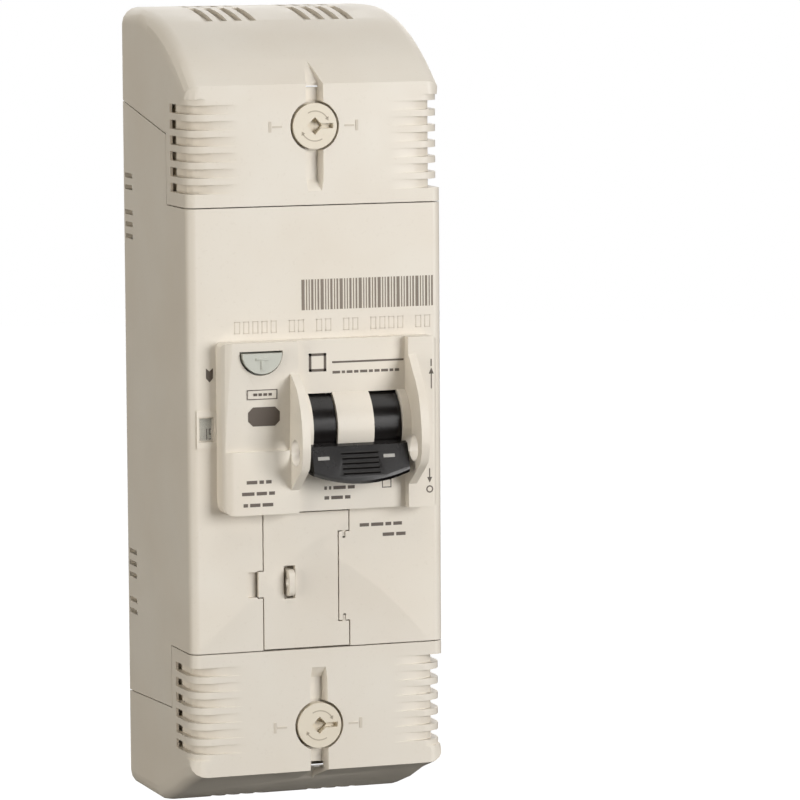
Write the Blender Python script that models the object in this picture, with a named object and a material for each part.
"""Residual current circuit breaker, two poles, handle down (off). Metres, +Z up, front towards -Y.

The shapes below are drawn in millimetres as (x, depth, z): depth is measured backwards from the flat front
of the housing, and the origin is the centre of the back face. Run it with
blender --background --python part.py
"""

import math

import bmesh
import bpy
from mathutils import Matrix, Vector

mm = 0.001
gap = 0.3  # clearance kept between neighbouring pieces

# Driving dimensions, millimetres
half_width = 35.0  # four 17.5 mm modules
body_depth = 58.0
wall = 2.0
seam = 58.5  # height of the joint between the housing and each terminal cover
top_height = 108.8
bottom_height = 103.0
wing_depth = 18.0  # behind this depth the housing's side walls reach past the seam
wings = {1: (77.0, 84.0), -1: (75.1, 76.6)}  # how far they reach at their front and at the back
vent_middle = 4.85
vent_heights = (42.75, 45.95, 49.2, 55.9, 59.05)  # side vents, above and below vent_middle
edge_radius = 2.5

nose_x = (-27.6, 31.3)
nose_z = (-21.5, 23.5)
nose_proud = 6.0
fascia_x = (-7.0, 23.3)
fascia_proud = 3.2
window_x = (-6.0, 23.3)
window_z = (-10.2, 7.7)

handle_axis = (3.0, 0.0)  # depth, z
barrel_radius = 10.6
core_radius = 8.8
grip_root = (12.9, 3.6)  # forward of the axis, height, with the handle drawn straight ahead
grip_x = (-4.8, 21.6)
grip_reach = 20.2
grip_bow = 2.0  # how much less the grip reaches at its two ends
grip_slope = 0.8
handle_rest = -32.5  # degrees below straight forward
crank_radius = 12.0

carrier_axis = (38.0, 0.0)
carrier_travel = 20.0
carrier_crank = 8.0
arm_reach = 30.0
arm_tilt = 14.0  # how far the open contacts lean back

pole_x = 18.0
terminal_z = 68.0
screw_z = 79.0  # cover screws
door_hinge = (7.2, 0.9)  # x, depth
post_spots = [(sx * 28.5, sz * 51.0) for sx in (-1, 1) for sz in (-1, 1)]

cream = (0.76, 0.70, 0.60)
black = (0.012, 0.012, 0.013)
copper = (0.72, 0.33, 0.17)
steel = (0.56, 0.57, 0.58)
brass = (0.70, 0.52, 0.22)


def clear_scene():
    for item in list(bpy.data.objects):
        bpy.data.objects.remove(item, do_unlink=True)


# Shapes, drawn as (x, depth, z) in millimetres

def place(x, depth, z):
    return Vector((x, depth - body_depth, z)) * mm


def solid(name, rings):
    """A closed solid through rings of equal length, with its first and last ring capped."""
    mesh = bpy.data.meshes.new(name)
    shape = bmesh.new()
    loops = [[shape.verts.new(place(*spot)) for spot in ring] for ring in rings]
    count = len(loops[0])
    for low, high in zip(loops, loops[1:]):
        for i in range(count):
            shape.faces.new((low[i], low[(i + 1) % count], high[(i + 1) % count], high[i]))
    shape.faces.new(loops[0][::-1])
    shape.faces.new(loops[-1])
    bmesh.ops.recalc_face_normals(shape, faces=shape.faces)
    shape.to_mesh(mesh)
    shape.free()
    made = bpy.data.objects.new(name, mesh)
    bpy.context.scene.collection.objects.link(made)
    return made


def across(outline, x, name="cutter"):
    """An outline of (depth, z) carried along X."""
    return solid(name, [[(end, depth, z) for depth, z in outline] for end in x])


def deep(outline, depth, name="cutter"):
    """An outline of (x, z) carried backwards."""
    return solid(name, [[(x, end, z) for x, z in outline] for end in depth])


def tall(outline, z, name="cutter"):
    """An outline of (x, depth) carried upwards."""
    return solid(name, [[(x, depth, end) for x, depth in outline] for end in z])


def block(x, depth, z, name="cutter"):
    corners = [(x[0], z[0]), (x[1], z[0]), (x[1], z[1]), (x[0], z[1])]
    return deep(corners, depth, name)


def circle(centre, radius, sides=24):
    turns = [2 * math.pi * (i + 0.5) / sides for i in range(sides)]
    return [(centre[0] + radius * math.cos(t), centre[1] + radius * math.sin(t)) for t in turns]


def arc(centre, radius, start, end, steps):
    """Points on an arc; angles in degrees from the first axis of the outline."""
    angles = [math.radians(start + (end - start) * i / steps) for i in range(steps + 1)]
    return [(centre[0] + radius * math.cos(a), centre[1] + radius * math.sin(a)) for a in angles]


def rounded(corners, steps=4):
    """An outline from (u, v, radius) corners, each corner of some radius turned into an arc."""
    outline = []
    for i, (u, v, radius) in enumerate(corners):
        here = Vector((u, v))
        if radius <= 0:
            outline.append((u, v))
            continue
        before = (Vector(corners[i - 1][:2]) - here).normalized()
        after = (Vector(corners[(i + 1) % len(corners)][:2]) - here).normalized()
        half = before.angle(after) / 2
        centre = here + (before + after).normalized() * radius / math.sin(half)
        start = here + before * radius / math.tan(half) - centre
        turn = (here + after * radius / math.tan(half) - centre)
        swing = start.angle_signed(turn)
        for step in range(steps + 1):
            spoke = Matrix.Rotation(-swing * step / steps, 2) @ start
            outline.append(tuple(centre + spoke))
    return outline


def turned(outline, centre, degrees):
    """An outline turned about a centre, anticlockwise."""
    spin = Matrix.Rotation(math.radians(degrees), 2)
    middle = Vector(centre)
    return [tuple(middle + spin @ (Vector(spot) - middle)) for spot in outline]


def coil(name, centre, radius, wire, depth, turns, sides=5, steps=8):
    """A helical spring along the depth, its wire a small polygon carried round the helix."""
    rings = []
    total = int(turns * steps)
    for i in range(total + 1):
        angle = 2 * math.pi * i / steps
        along = depth[0] + wire + (depth[1] - depth[0] - 2 * wire) * i / total
        ring = []
        for side in range(sides):
            tilt = 2 * math.pi * side / sides
            reach = radius + wire * math.cos(tilt)
            spot = (centre[0] + reach * math.cos(angle), along + wire * math.sin(tilt))
            ring.append((spot[0], spot[1], centre[1] + reach * math.sin(angle)))
        rings.append(ring)
    return solid(name, rings)


def combine(body, other, operation):
    step = body.modifiers.new(operation.title(), "BOOLEAN")
    step.operation = operation
    step.solver = "EXACT"
    step.object = other
    graph = bpy.context.evaluated_depsgraph_get()
    made = bpy.data.meshes.new_from_object(body.evaluated_get(graph))
    body.modifiers.clear()
    body.data = made
    bpy.data.objects.remove(other, do_unlink=True)


def carve(body, *cutters):
    for cutter in cutters:
        combine(body, cutter, "DIFFERENCE")


def join(body, *others):
    for other in others:
        combine(body, other, "UNION")


def trim(body, *limits):
    for limit in limits:
        combine(body, limit, "INTERSECT")


def finish(body, colour, roughness, metallic=0.0, pivot=None):
    """Gives the piece its material, smooth round faces and, if it moves, an origin on its axis."""
    look = bpy.data.materials.new(body.name + "_finish")
    look.use_nodes = True
    shader = look.node_tree.nodes["Principled BSDF"]
    shader.inputs["Base Color"].default_value = (*colour, 1.0)
    shader.inputs["Roughness"].default_value = roughness
    shader.inputs["Metallic"].default_value = metallic
    body.data.materials.clear()
    body.data.materials.append(look)
    body.data.shade_smooth()
    body.data.set_sharp_from_angle(angle=math.radians(28))
    if pivot:
        spot = place(*pivot)
        body.data.transform(Matrix.Translation(-spot))
        body.location = spot
    return body


# Housing

def housing_profile():
    """Side view of the housing: flush with the covers in front, with wings behind wing_depth."""
    outline = []
    for side in (1, -1):
        front, rear = wings[side]
        edge = [(0, seam - gap), (wing_depth + gap, seam - gap)]
        edge += [(wing_depth + gap, front - gap), (body_depth - gap, rear - gap)]
        outline += [(depth, side * z) for depth, z in edge[::side]]
    return outline


def plan(depth, radius=edge_radius):
    """Seen from above: rounded front edges, square at the back."""
    corners = [(-half_width, depth[1], 0), (-half_width, depth[0], radius)]
    corners += [(half_width, depth[0], radius), (half_width, depth[1], 0)]
    return rounded(corners)


def add_nose(body):
    flat = [(nose_x[0], 3, 0), (nose_x[0], -nose_proud, 3)]
    flat += [(nose_x[1], -nose_proud, 1.2), (nose_x[1], 3, 0)]
    nose = tall(rounded(flat), nose_z)
    face = [(nose_x[0], nose_z[0], 3), (nose_x[1], nose_z[0], 1.5)]
    face += [(nose_x[1], nose_z[1], 1.5), (nose_x[0], nose_z[1], 1.5)]
    trim(nose, deep(rounded(face), (-10, 5)))
    join(body, nose)
    ledge = [(-9, -4.9), (-nose_proud + 1.0, -4.9), (-nose_proud + 0.35, 10), (-nose_proud, 22), (-9, 22)]
    carve(
        body,
        block((nose_x[0] + wall, nose_x[1] - wall), (-1.2, 3), (nose_z[0] + wall, nose_z[1] - wall)),
        block((nose_x[0] + wall, fascia_x[0] - wall), (-2.5, 0), (nose_z[0] + wall, nose_z[1] - wall)),
        block(fascia_x, (-10, -fascia_proud), (nose_z[0] - 1, nose_z[1] + 1)),
        block(window_x, (-10, -fascia_proud + 1.2), (window_z[1] - 0.5, window_z[1] + 1.7)),
        across(ledge, (nose_x[0] - 1, fascia_x[0] + 1)),
        block(window_x, (-10, 4), window_z),
        across(circle(handle_axis, barrel_radius + 0.4, 48), window_x),
        block((-24, -10), (-2.5, 3), (20, 22)),
    )


def add_cheeks(body):
    """Two guards swept out past the handle, each pierced for a padlock's shackle."""
    left = [(-2.4, 17), (-6, 15.0), (-8.7, 13.5), (-11.5, 11.2), (-13, 8.8), (-14.2, 6.3), (-15, 3.8)]
    left += [(-15.6, 0.5), (-15.9, -3), (-15.7, -6), (-14.7, -9), (-12.9, -10.6), (-6, -15.4), (-2.4, -17.4)]
    right = [(-2.4, 19.6), (-6, 19), (-7.9, 17), (-9.5, 14.8), (-11.8, 12.4), (-13.4, 10), (-14.5, 7.5)]
    right += [(-15.3, 5), (-16, 1.5), (-16.4, -2.7), (-16.2, -6), (-15.2, -8.5), (-13.4, -10.1)]
    right += [(-6.3, -15.1), (-2.4, -17.2)]
    thick = 2.2
    for outline, x in ((left, fascia_x[0] - thick), (right, fascia_x[1])):
        cheek = across(outline, (x, x + thick))
        carve(cheek, across(circle((-9.8, -5.3), 3.5), (x - 1, x + thick + 1)))
        join(body, cheek)


def add_arches(body):
    """Fixed strips that bow over the handle's barrel."""
    outer = arc(handle_axis, 11.5, 119, 241, 12)
    inner = arc(handle_axis, 9.4, 241, 119, 12)
    for x in ((-6.2, -3.7), (3.0, 13.0), (21.0, 23.4)):
        join(body, across(outer + inner, x))


def door_outline(grow=0.0):
    """The door's outline in (x, z); a positive grow gives the pocket it lies in."""
    right = 8.5 + grow
    inset = 5.5 + grow
    left = -15.0 - grow
    points = [(left, -58.0 - 3 * grow), (right, -58.0 - 3 * grow), (right, -51.6 + grow)]
    points += [(inset, -51.6 + grow), (inset, -27.5 - grow), (right, -27.5 - grow)]
    points += [(right, -22.2 + grow), (left, -22.2 + grow), (left, -37.3 + grow)]
    return points + [(left - 1.5, -37.3 + grow), (left - 1.5, -44.1 - grow), (left, -44.1 - grow)]


def add_door_pocket(body):
    tub = block((-5.5, 5.5), (1, 15), (-47, -33))
    join(body, tub, block((-16, 9.5), (1, 4.6), (-58.2, -21)))
    carve(
        body,
        deep(door_outline(gap), (-3, 2.9)),
        block((-19.4, -15), (-3, 1.4), (-44.1, -37.3)),
        block((-5.2 + 1.2, 5.2 - 1.2), (0, 13), (-45, -35)),
        deep(circle((0, -40), 1.9, 16), (10, 17)),
        tall(circle(door_hinge, 1.0, 12), (-52, -49.6)),
        tall(circle(door_hinge, 1.0, 12), (-29.5, -27)),
    )
    eye = across(rounded([(3.5, -44, 0), (-2.4, -44, 1.6), (-2.4, -37, 1.6), (3.5, -37, 0)]), (-8.7, -7.2))
    carve(eye, across(circle((-0.4, -40.5), 1.3, 14), (-10, -6)))
    join(body, eye)


def add_rating_frame(body):
    join(body, block((-33.0, nose_x[0] + 0.5), (-0.3, 1), (-4.2, 5.75)))
    carve(
        body,
        block((-32.4, -28.2), (-3, 0.8), (-2.45, 4.05)),
        block((-31.9, -28.7), (-3, 5), (-1.95, 3.55)),
        block((-half_width + wall, -27.6), (1.2, 3), (-31, 17)),
        block((-27.7, -26.5), (2.1, 3.1), (-29.5, -13.5)),
    )


def button_outline(grow=0.0):
    """A letter D lying on its back: flat at the top, round below."""
    bow = arc((-17.1, 20.8), 5.4 + grow, 180, 360, 14)
    return [(-17.1 + 5.4 + grow, 20.8 + grow), (-17.1 - 5.4 - grow, 20.8 + grow)] + bow


def add_test_guide(body):
    join(body, block((-24, -10), (1, 8), (22, 24)), block((-24, -10), (6.3, 8), (12, 24)))
    carve(
        body,
        deep(button_outline(0.5), (-10, 0)),
        deep(circle((-17.1, 18), 1.8, 12), (5, 9)),
    )


def add_side_vents(body):
    for side in (-1, 1):
        x = sorted((side * (half_width - wall - 0.2), side * (half_width + 1)))
        for end in (-1, 1):
            for height in vent_heights:
                centre = vent_middle + end * height
                carve(body, block(x, (49.6, 56.6), (centre - 0.65, centre + 0.65)))


def make_housing():
    body = across(housing_profile(), (-half_width, half_width), "front_housing")
    trim(body, tall(plan((0, 60)), (-90, 90)))
    inner = half_width - wall
    end = seam - gap - wall
    base_front = body_depth - 3.5
    carve(
        body,
        block((-inner, inner), (wall, 60), (-end, end)),
        block((-inner, inner), (base_front - gap, 60), (-86, 86)),
    )
    for side in (-1, 1):
        z = sorted((side * (seam - gap), side * 90))
        carve(body, block((-inner, inner), (-1, 60), z))
        for pole in (-1, 1):
            x = sorted((pole * 13.5, pole * 22.5))
            carve(body, block(x, (26, 36), sorted((side * 55, side * 60))))
    add_nose(body)
    for x, z in post_spots:
        reach = sorted((x, math.copysign(inner + 0.5, x)))
        join(body, deep(circle((x, z), 3.4, 16), (1, body_depth - 4)))
        join(body, block(reach, (1, body_depth - 4), (z - 1.2, z + 1.2)))
        carve(body, deep(circle((x, z), 1.8, 12), (40, 60)))
    add_test_guide(body)
    add_arches(body)
    add_cheeks(body)
    add_door_pocket(body)
    add_rating_frame(body)
    add_side_vents(body)
    finish(body, cream, 0.45)


def make_base():
    edge = half_width - wall - 0.4
    front = body_depth - 3.5
    body = block((-edge, edge), (front, body_depth), (-100, 104), "rear_base")
    for side in (-1, 1):
        join(body, block(sorted((side * 28.3, side * 31.0)), (33, front + 1), (-5, 5)))
        carve(body, across(circle(carrier_axis, 2.6, 16), sorted((side * 27, side * 32.5))))
        join(body, deep(circle((0, side * screw_z), 5.0), (24, front + 1)))
        carve(body, deep(circle((0, side * screw_z), 2.9, 20), (20, 50)))
        carve(body, block((-24, 24), (50, 60), sorted((side * 86, side * 97))))
        for pole in (-1, 1):
            spot = (pole * 28, side * 92)
            carve(body, deep(circle(spot, 2.6, 16), (50, 60)))
            x = (pole * pole_x - 5, pole * pole_x + 5)
            join(body, block(x, (47.2, front + 1), sorted((side * 62, side * 74))))
    for x, z in post_spots:
        carve(body, deep(circle((x, z), 3.5, 18), (55.4, 60)), deep(circle((x, z), 1.9, 12), (50, 60)))
    finish(body, (0.62, 0.58, 0.50), 0.55)
    for number, (x, z) in enumerate(post_spots, 1):
        screw = deep(circle((x, z), 3.1, 16), (55.7, 57.7), f"assembly_screw_{number}")
        join(screw, deep(circle((x, z), 1.5, 12), (42, 56)))
        carve(screw, block((x - 2, x + 2), (56.8, 60), (z - 0.4, z + 0.4)))
        finish(screw, steel, 0.35, 1.0)


# Terminal covers

def cover_outline(side, inset=0.0):
    """Side view of a terminal cover from the crease to the back, drawn inset from the outer skin."""
    back = body_depth - gap if not inset else body_depth + 3
    if side > 0:
        curve = arc((50, top_height - 75), 75 - inset, 131.0, 90, 10)
        first = (inset, 90 - 0.4 * inset)
        rest = [spot for spot in curve if spot[0] > inset + 1]
        return [first] + rest + [(back, top_height - inset)]
    low = bottom_height - inset
    slope = [(inset, 91 - 0.3 * inset), (10, 94.3 - inset), (20, 98.6 - inset), (31, 102.2 - inset)]
    return slope + [(36, low), (back, low)]


def cover_profile(side):
    outline = [(0, seam)] + cover_outline(side)
    front, rear = wings[side]
    outline += [(body_depth - gap, rear), (wing_depth, front), (wing_depth, seam)]
    return [(depth, side * z) for depth, z in outline]


def scoop_cutters(side):
    """Grip scoops at both front edges: a rounded corner with six deeper gaps between five ribs."""
    start, end, pitch, rib = 62.0, 86.5, 4.12, 1.75
    corner = [(29.2, -1), (29.2, -0.04), (31.6, 0.42), (33.4, 1.6), (34.5, 3.4)]
    corner += [(35.05, 5.7), (36, 5.7), (36, -1)]
    gaps = [(20.5, -1), (20.5, -0.02), (27.0, 0.6), (30.5, 1.7), (32.4, 3.4), (33.2, 5.8), (33.2, 19.0)]
    gaps += [(34.3, 19.0), (34.3, 14.4), (36, 14.4), (36, -1)]
    cutters = []
    for hand in (-1, 1):
        z = sorted((side * start, side * end))
        cutters.append(tall([(hand * x, depth) for x, depth in corner], z))
        for number in range(6):
            low = start + number * pitch
            z = sorted((side * low, side * (low + pitch - rib)))
            cutters.append(tall([(hand * x, depth) for x, depth in gaps], z))
    return cutters


def corner_cutters(side):
    """Rounds the corner between each side and the front, top or bottom, following the outline."""
    path = [(0, 86.4)] + cover_outline(side)
    path[-1] = (body_depth + 1, path[-1][1])
    section = [(30.7, 2), (30.7, 0.06), (32.5, -0.3), (33.8, -1.2), (34.7, -2.5)]
    section += [(35.05, -4.2), (37, -4.2), (37, 2)]
    cutters = []
    for hand in (-1, 1):
        rings = []
        for i, (depth, z) in enumerate(path):
            before, after = Vector(path[max(i - 1, 0)]), Vector(path[min(i + 1, len(path) - 1)])
            along = (after - before).normalized()
            out = Vector((-along.y, along.x))
            rings.append([(hand * x, depth + out.x * rise, side * (z + out.y * rise)) for x, rise in section])
        cutters.append(solid("cutter", rings))
    return cutters


def vent_cutters(side):
    """Two groups of vents in two rows: shallow pockets in the top, slots right through the bottom."""
    if side > 0:
        rows = [[(28.5, 104.35), (36, 106.2), (45, 107.35), (45, 115), (28.5, 115)]]
        rows.append([(48.5, 107.5), (56, 107.5), (56, 115), (48.5, 115)])
    else:
        spans = ((28.5, 45), (48.5, 56))
        rows = [[(near, -98), (far, -98), (far, -115), (near, -115)] for near, far in spans]
    cutters = []
    for group in (-1, 1):
        for number in range(4):
            x = group * 13.6 + (number - 1.5) * 4.0
            cutters += [across(row, (x - 1.1, x + 1.1)) for row in rows]
    return cutters


def groove_cutter(side):
    """The centre groove, with sloping walls: from near the seam to beyond the crease."""
    # each station: floor depth, floor height, the way out of the floor, half the floor's width
    if side > 0:
        stations = [(-0.05, 62.0, (-1, 0), 1.9), (2.6, 64.9, (-1, 0), 1.5)]
        stations += [(2.6, 90.2, (-0.92, 0.39), 1.5), (10.2, 98.4, (-0.7, 0.71), 0.1)]
    else:
        stations = [(-0.05, 63.4, (-1, 0), 1.9), (2.6, 66.4, (-1, 0), 1.5)]
        stations += [(2.6, 89.9, (-0.8, 0.6), 1.5), (10.9, 93.4, (-0.31, 0.95), 1.5)]
        stations += [(13.4, 96.1, (-0.39, 0.92), 2.4)]
    rise, spread = 4.0, 1.3
    rings = []
    for depth, z, out, half in stations:
        high = (depth + out[0] * rise, side * (z + out[1] * rise))
        ring = [(-half, depth, side * z), (half, depth, side * z)]
        rings.append(ring + [(half + spread, *high), (-half - spread, *high)])
    return solid("cutter", rings)


def make_cover(name, side):
    body = across(cover_profile(side), (-half_width, half_width), name)
    far = top_height if side > 0 else bottom_height
    face = [(-half_width, side * 40, 0), (half_width, side * 40, 0)]
    face += [(half_width, side * far, 4.5), (-half_width, side * far, 4.5)]
    trim(body, tall(plan((0, 60)), sorted((side * 50, side * 120))), deep(rounded(face), (-1, 60)))
    inner = [(2.2, 50)] + cover_outline(side, 2.2) + [(body_depth + 3, 50)]
    hollow = across([(depth, side * z) for depth, z in inner], (-32.8, 32.8))
    half = [(19, 1), (26.0, 2.8), (28.6, 4.4), (31.0, 14.0), (31.0, 20.2), (32.8, 21.8), (32.8, 62)]
    mirrored = [(-x, depth) for x, depth in reversed(half)]
    trim(hollow, tall(mirrored[-1:] + half + mirrored[:-1], sorted((side * 49, side * 120))))
    carve(body, hollow)
    backing = block((-4.2, 4.2), (1.0, 4.6), sorted((side * 60, side * 89)))
    join(body, backing, deep(circle((0, side * screw_z), 8.6, 28), (0.6, 6)))
    carve(body, *vent_cutters(side), *corner_cutters(side), *scoop_cutters(side), groove_cutter(side))
    carve(
        body,
        deep(circle((0, side * screw_z), 6.7, 32), (-2, 2.9)),
        deep(circle((0, side * screw_z), 2.9, 20), (-2, 8)),
    )
    finish(body, cream, 0.45, pivot=(0, 0, side * screw_z))


def make_cover_screw(name, side):
    """Quarter-turn sealing screw: a disc with a key hole and slot, on a stem with a small cross lug."""
    z = side * screw_z
    body = deep(circle((0, z), 6.0, 32), (-0.3, 2.6), name)
    join(body, deep(circle((0, z), 2.4, 20), (2, 34)))
    carve(
        body,
        deep(turned(circle((0, z), 2.3, 4), (0, z), 45), (-2, 2.0)),
        block((1.0, 5.0), (-2, 1.2), (z - 0.65, z + 0.65)),
        block((-3, 3), (32.5, 36), (z - 0.5, z + 0.5)),
    )
    finish(body, (0.74, 0.67, 0.56), 0.42, pivot=(0, 0, z))


# Front pieces

def make_door():
    thickness = 1.8
    body = deep(door_outline(), (0, thickness), "adjustment_door")
    for low, high in ((-51.9, -50.0), (-29.1, -27.2)):
        join(body, tall(circle(door_hinge, 0.7, 12), (low, high)))
    carve(body, block((-9.5, -6.4), (-1, 3), (-44.8, -36.1)))
    finish(body, cream, 0.45, pivot=(*door_hinge, -40))


def make_rating_parts():
    window = block((-32.1, -28.5), (-0.05, 0.5), (-2.15, 3.75), "rating_window")
    finish(window, (0.85, 0.88, 0.88), 0.05)
    slider = block((-32.6, -28.0), (1.5, 2.7), (-19, 16), "rating_slider")
    join(slider, block((-30.5, -26.8), (2.4, 6.5), (-18, -14)))
    finish(slider, (0.80, 0.79, 0.74), 0.5, pivot=(-30.4, 2.1, -1.2))
    selector = deep(circle((0, -40), 3.6, 20), (7, 12.4), "rating_selector")
    join(selector, deep(circle((0, -40), 1.5, 12), (12, 19)))
    carve(selector, block((-3, 3), (5, 8.2), (-40.6, -39.4)))
    finish(selector, (0.30, 0.31, 0.32), 0.5, pivot=(0, 9, -40))


def make_test_parts():
    button = deep(button_outline(), (-7.0, -1.6), "test_button")
    join(button, deep(button_outline(0.9), (-2.2, -1.0)), deep(circle((-17.1, 18), 1.3, 12), (-1.5, 10)))
    raised = (-7.25, -6.5)
    letter = [block((-18.9, -15.3), raised, (19.0, 19.7)), block((-17.5, -16.7), raised, (16.4, 19.3))]
    join(button, *letter)
    finish(button, (0.60, 0.61, 0.57), 0.4, pivot=(-17.1, -4, 18))
    spring = coil("test_button_spring", (-17.1, 18), 2.3, 0.28, (-0.7, 6.0), 5)
    finish(spring, steel, 0.3, 1.0)
    leaf = block((-19, -15), (12.4, 12.9), (5, 24), "test_contact_leaf")
    join(leaf, block((-19, -15), (12.4, 17), (4.4, 5.1)))
    finish(leaf, copper, 0.3, 1.0)
    resistor = tall(circle((-17, 15.0), 1.9, 16), (-8, 4.1), "test_resistor")
    join(resistor, tall(circle((-17, 15.0), 0.5, 8), (-12, -7)))
    finish(resistor, (0.35, 0.24, 0.14), 0.5)


def crank_spot():
    """Where the link's front pivot is at rest, on the back of the handle."""
    angle = math.radians(-handle_rest)
    return (handle_axis[0] + crank_radius * math.cos(angle), crank_radius * math.sin(angle))


def carrier_pin_spot():
    angle = math.radians(180 - carrier_travel / 2)
    return (carrier_axis[0] + carrier_crank * math.cos(angle), carrier_crank * math.sin(angle))


def grip_ring(x):
    """The grip bar's cross-section at x: a sloping thumb face ending in a lip that bows forward."""
    middle, half = (grip_x[0] + grip_x[1]) / 2, (grip_x[1] - grip_x[0]) / 2
    root, height = grip_root
    lip = grip_reach - grip_bow * ((x - middle) / half) ** 2
    edge = height - grip_slope * (lip - root)
    spots = [(root - 1.5, height - 0.4), (root, height), (lip - 0.5, edge + 0.4), (lip, edge - 0.2)]
    spots += [(lip, edge - 1.2), (lip - 2.2, edge - 2.5), (root - 0.9, -5.0)]
    outline = [(handle_axis[0] - forward, z) for forward, z in spots]
    return [(x, depth, z) for depth, z in turned(outline, handle_axis, -handle_rest)]


def thumb_grooves():
    """Five fine grooves across the middle of the thumb face."""
    cutters = []
    for number in range(5):
        forward = grip_root[0] + 1.6 + number * 1.05
        face = grip_root[1] - grip_slope * (forward - grip_root[0])
        notch = [(forward - 0.35, face + 0.6), (forward + 0.35, face + 0.6)]
        notch += [(forward + 0.15, face - 0.55), (forward - 0.15, face - 0.55)]
        outline = [(handle_axis[0] - along, z) for along, z in notch]
        cutters.append(across(turned(outline, handle_axis, -handle_rest), (3.1, 13.3)))
    return cutters


def make_handle():
    front = handle_axis[0]
    arms = ((-3.4, 2.7), (13.3, 20.7))
    body = across(circle(handle_axis, core_radius, 36), (arms[0][0], arms[1][1]), "handle")
    arm = [(front - 6, -3.6), (front - 13.9, -4.2), (front - 13.9, 2.3), (front - 6, 3.0)]
    for x in arms:
        join(body, across(circle(handle_axis, barrel_radius, 48), x))
        join(body, across(turned(arm, handle_axis, -handle_rest), x))
    steps = 12
    stops = [grip_x[0] + (grip_x[1] - grip_x[0]) * i / steps for i in range(steps + 1)]
    join(body, solid("grip", [grip_ring(x) for x in stops]))
    carve(body, *thumb_grooves())
    pin = crank_spot()
    lug = [(front + 6, -2.4), (front + crank_radius, -2.4), (front + crank_radius + 1.8, 0)]
    lug += [(front + crank_radius, 2.4), (front + 6, 2.4)]
    join(body, across(turned(lug, handle_axis, -handle_rest), (4.6, 7.4)))
    join(body, across(circle(pin, 1.1, 12), (7.0, 10.5)))
    carve(body, across(circle(handle_axis, 2.3, 20), (-8, 25)))
    finish(body, black, 0.16, pivot=(0, *handle_axis))
    axle = across(circle(handle_axis, 2.0, 20), (-6.2, 23.6), "handle_axle")
    finish(axle, steel, 0.3, 1.0)


def make_link():
    """A flat rod from the handle's crank, forked at its far end round the carrier's pin."""
    front = crank_spot()
    rear = carrier_pin_spot()
    slope = math.degrees(math.atan2(rear[1] - front[1], rear[0] - front[0]))
    half, end = 2.75, 18.4
    bar = [(front[0], front[1] - half), (front[0] + end, front[1] - half)]
    bar += [(front[0] + end, front[1] + half)]
    bar += [(front[0], front[1] + half)]
    body = across(turned(bar, front, slope), (7.9, 10.1), "handle_link")
    join(body, across(circle(front, 2.6, 20), (7.9, 10.1)))
    slot = [(front[0] + 12.9, front[1] - 1.65), (front[0] + 25, front[1] - 1.65)]
    slot += [(front[0] + 25, front[1] + 1.65), (front[0] + 12.9, front[1] + 1.65)]
    carve(body, across(turned(slot, front, slope), (6, 12)), across(circle(front, 1.45, 16), (6, 12)))
    finish(body, steel, 0.35, 1.0, pivot=(9, *front))


def make_mechanism():
    outline = [(-2, 4), (6, 12), (31, 12), (31, -19), (12, -19), (-2, -4)]
    for name, x in (("mechanism_plate_left", (-5.4, -4.0)), ("mechanism_plate_right", (21.4, 22.8))):
        plate = across(outline, x, name)
        for spot, radius in ((handle_axis, 2.3), ((28, -14), 1.75), ((21, -5), 1.3)):
            carve(plate, across(circle(spot, radius, 16), (x[0] - 1, x[1] + 1)))
        finish(plate, steel, 0.35, 1.0)
    bar = across(circle((28, -14), 1.4, 14), (-25, 25), "trip_bar")
    join(bar, block((-20, -16), (27.4, 28.6), (-19.5, -14)), block((16, 20), (27.4, 28.6), (-19.5, -14)))
    join(bar, block((13.9, 16.1), (24.6, 28), (-13.8, -12.8)))
    finish(bar, (0.45, 0.43, 0.38), 0.5, pivot=(0, 28, -14))
    lever = [(20, -8), (22.5, -8), (24.2, -11), (23.2, -12.2), (20.5, -10.2)]
    lever += [(18.2, -4), (18.6, 2), (20, 3.4)]
    latch = across(lever + [(22, -2)], (14, 16), "latch_lever")
    join(latch, across(circle((21, -5), 1.0, 12), (12.5, 23.0)))
    finish(latch, steel, 0.35, 1.0, pivot=(15, 21, -5))
    spring = coil("opening_spring", (0, -2), 2.4, 0.35, (43.0, 54.2), 5)
    finish(spring, steel, 0.3, 1.0)


# Contacts and sensing

def leaned(outline):
    """An outline drawn straight up from the carrier's axis, leaned back to the open position."""
    return turned(outline, carrier_axis, -arm_tilt)


def upright(width, start, end, shift=0.0):
    depth = carrier_axis[0] + shift
    near, far = depth - width / 2, depth + width / 2
    return [(near, start), (far, start), (far, end), (near, end)]


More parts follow.
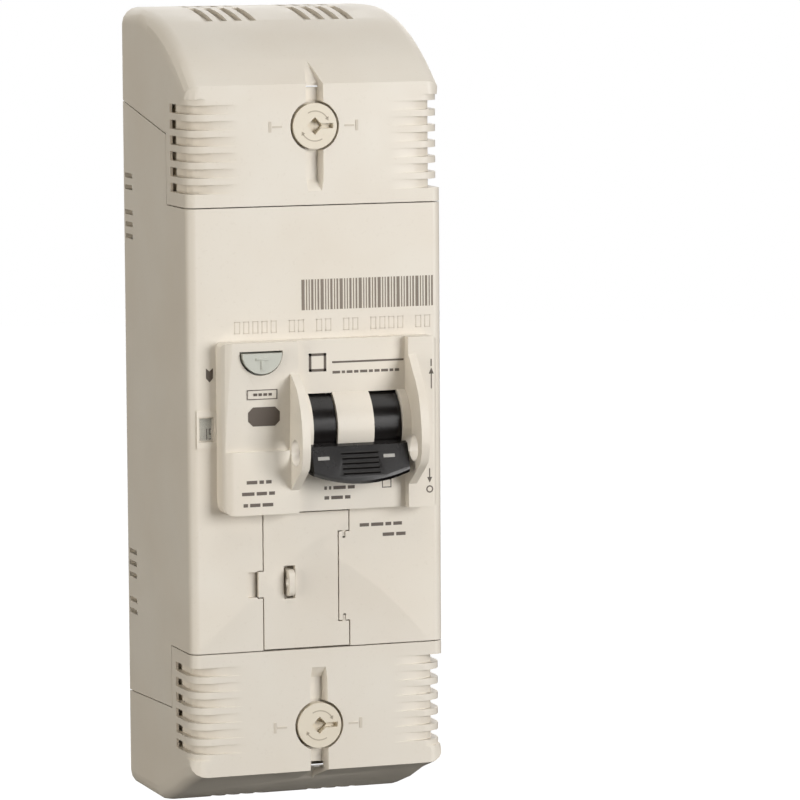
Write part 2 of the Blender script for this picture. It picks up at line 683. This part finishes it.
def make_carrier():
    body = across(circle(carrier_axis, 4.2, 24), (-27, 27), "contact_carrier")
    join(body, across(circle(carrier_axis, 2.3, 16), (-31.6, 31.6)))
    for pole in (-1, 1):
        x = pole * pole_x
        join(body, across(leaned(upright(5.4, 2, 12)), (x - 4.2, x + 4.2)))
        carve(body, across(leaned(upright(2.2, 4.7, 14)), (x - 2.8, x + 2.8)))
    pin = carrier_pin_spot()
    lug = [(carrier_axis[0], -2.4), (carrier_axis[0] - carrier_crank - 1.6, -1.6)]
    lug += [(carrier_axis[0] - carrier_crank - 1.6, 1.6), (carrier_axis[0], 2.4)]
    join(body, across(turned(lug, carrier_axis, -carrier_travel / 2), (10.8, 13.4)))
    join(body, across(circle(pin, 1.1, 12), (7.8, 11.2)))
    finish(body, (0.10, 0.10, 0.11), 0.45, pivot=(0, *carrier_axis))
    for word, pole in (("left", -1), ("right", 1)):
        x = pole * pole_x
        arm = across(leaned(upright(1.6, 5.1, arm_reach)), (x - 2.4, x + 2.4), f"moving_contact_{word}")
        join(arm, across(leaned(upright(1.4, 26.4, 29.6, -1.2)), (x - 2, x + 2)))
        finish(arm, copper, 0.28, 1.0, pivot=(x, *carrier_axis))


def make_fixed_contacts():
    for word, pole in (("left", -1), ("right", 1)):
        x = pole * pole_x
        strip = block((x - 2.5, x + 2.5), (30.5, 32.0), (26, 74), f"fixed_contact_{word}")
        join(strip, block((x - 2, x + 2), (31.8, 32.5), (27, 31)))
        finish(strip, copper, 0.28, 1.0)
        chute = block((x - 6, x + 6), (35, 50), (33, 53), f"arc_chute_{word}")
        for number in range(6):
            low = 34.6 + number * 3.0
            carve(chute, block((x - 5, x + 5), (33, 49), (low, low + 1.9)))
        finish(chute, steel, 0.4, 1.0)


def ring(name, centre, radii, z, sides=28):
    body = tall(circle(centre, radii[1], sides), z, name)
    carve(body, tall(circle(centre, radii[0], sides), (z[0] - 1, z[1] + 1)))
    return body


def make_trip_coils():
    for word, pole in (("left", -1), ("right", 1)):
        x = pole * pole_x
        heights = [(-31, 6.4), (-29.5, 6.4), (-29.4, 5.6), (-14.6, 5.6), (-14.5, 6.4), (-13, 6.4)]
        rings = [[(u, depth, z) for u, depth in circle((x, 45), radius, 18)] for z, radius in heights]
        body = solid(f"magnetic_coil_{word}", rings)
        carve(body, tall(circle((x, 45), 3.2, 14), (-32, -12)))
        finish(body, copper, 0.3, 1.0)
        plunger = tall(circle((x, 45), 2.7, 16), (-27, -10), f"magnetic_plunger_{word}")
        finish(plunger, steel, 0.3, 1.0, pivot=(x, 45, -18))
        strip = block((x - 2, x + 2), (33, 34), (-38, -16.5), f"bimetal_strip_{word}")
        join(strip, block((x - 2, x + 2), (33, 38), (-38, -37)))
        finish(strip, (0.55, 0.48, 0.40), 0.35, 1.0)


def make_load_conductors():
    for word, pole in (("left", -1), ("right", 1)):
        x = pole * pole_x
        bar = block((x - 2.5, x + 2.5), (30.5, 32.0), (-74, -52), f"load_conductor_{word}")
        route = [(x, 31.3, -53.0), (x, 36, -53.4), (pole * 12, 41, -53.6), (pole * 5, 42, -53.4)]
        route += [(pole * 3, 42, z) for z in (-51, -46, -40.5)]
        route += [(pole * 5, 42, -38), (pole * 10, 43, -36.5), (pole * 15, 43.5, -35)]
        join(bar, wire_along(route, 1.1))
        finish(bar, copper, 0.3, 1.0)


def wire_along(route, radius, sides=8):
    """A round wire through points, its rings square to the way it runs."""
    spots = [Vector(spot) for spot in route]
    rings = []
    for i, spot in enumerate(spots):
        way = (spots[min(i + 1, len(spots) - 1)] - spots[max(i - 1, 0)]).normalized()
        aside = way.cross(Vector((0, 1, 0))).normalized()
        above = way.cross(aside)
        turns = [2 * math.pi * step / sides for step in range(sides)]
        rings.append([tuple(spot + (aside * math.cos(t) + above * math.sin(t)) * radius) for t in turns])
    return solid("wire", rings)


def make_toroid():
    core = ring("toroid_core", (0, 42), (7.2, 10.2), (-49.5, -42.5), 32)
    finish(core, (0.20, 0.20, 0.22), 0.5, 0.6)
    outer = [(6.2, -50.5), (11.2, -50.5), (11.2, -41.5), (6.2, -41.5)]
    inner = [(6.9, -49.8), (10.5, -49.8), (10.5, -42.2), (6.9, -42.2)]
    body = swept_sector("toroid_winding", outer, (40, 320))
    carve(body, swept_sector("cutter", inner, (30, 330)))
    finish(body, copper, 0.3, 1.0)


def swept_sector(name, section, degrees, steps=24):
    """A section of (radius, z) carried round the toroid's axis through part of a turn."""
    rings = []
    for step in range(steps + 1):
        angle = math.radians(degrees[0] + (degrees[1] - degrees[0]) * step / steps)
        rings.append([(r * math.cos(angle), 42 + r * math.sin(angle), z) for r, z in section])
    return solid(name, rings)


def make_relay():
    body = block((-14, -7), (20, 32), (-38, -21), "trip_relay")
    carve(body, tall(circle((-10.5, 28), 1.5, 12), (-26, -20)))
    finish(body, (0.05, 0.06, 0.08), 0.4)
    pin = tall(circle((-10.5, 28), 1.1, 12), (-25, -17.2), "relay_plunger")
    finish(pin, steel, 0.3, 1.0, pivot=(-10.5, 28, -20))


# Terminals

def make_terminals():
    for end, side in (("top", 1), ("bottom", -1)):
        for word, pole in (("left", -1), ("right", 1)):
            x = pole * pole_x
            z = side * terminal_z
            cage = block((x - 6.5, x + 6.5), (24, 44.5), (z - 5.5, z + 5.5), f"terminal_cage_{end}_{word}")
            carve(
                cage,
                block((x - 4.8, x + 4.8), (27.5, 42), (z - 8, z + 8)),
                deep(circle((x, z), 3.2, 20), (20, 30)),
            )
            finish(cage, brass, 0.35, 1.0, pivot=(x, 34, z))
            screw = deep(circle((x, z), 4.4, 20), (12, 16), f"terminal_screw_{end}_{word}")
            join(screw, deep(circle((x, z), 2.9, 20), (15, 29.8)))
            carve(screw, block((x - 5, x + 5), (10, 13.4), (z - 0.6, z + 0.6)))
            carve(screw, block((x - 0.6, x + 0.6), (10, 13.4), (z - 3, z + 3)))
            finish(screw, steel, 0.3, 1.0, pivot=(x, 14, z))
        z = sorted((side * 59.2, side * 73.2))
        barrier = block((-0.9, 0.9), (8, body_depth - 3.8), z, f"pole_barrier_{end}")
        finish(barrier, (0.62, 0.58, 0.50), 0.55)


def main():
    clear_scene()
    make_housing()
    make_base()
    make_cover("top_terminal_cover", 1)
    make_cover("bottom_terminal_cover", -1)
    make_cover_screw("top_cover_screw", 1)
    make_cover_screw("bottom_cover_screw", -1)
    make_door()
    make_rating_parts()
    make_test_parts()
    make_handle()
    make_link()
    make_mechanism()
    make_carrier()
    make_fixed_contacts()
    make_trip_coils()
    make_load_conductors()
    make_toroid()
    make_relay()
    make_terminals()


main()
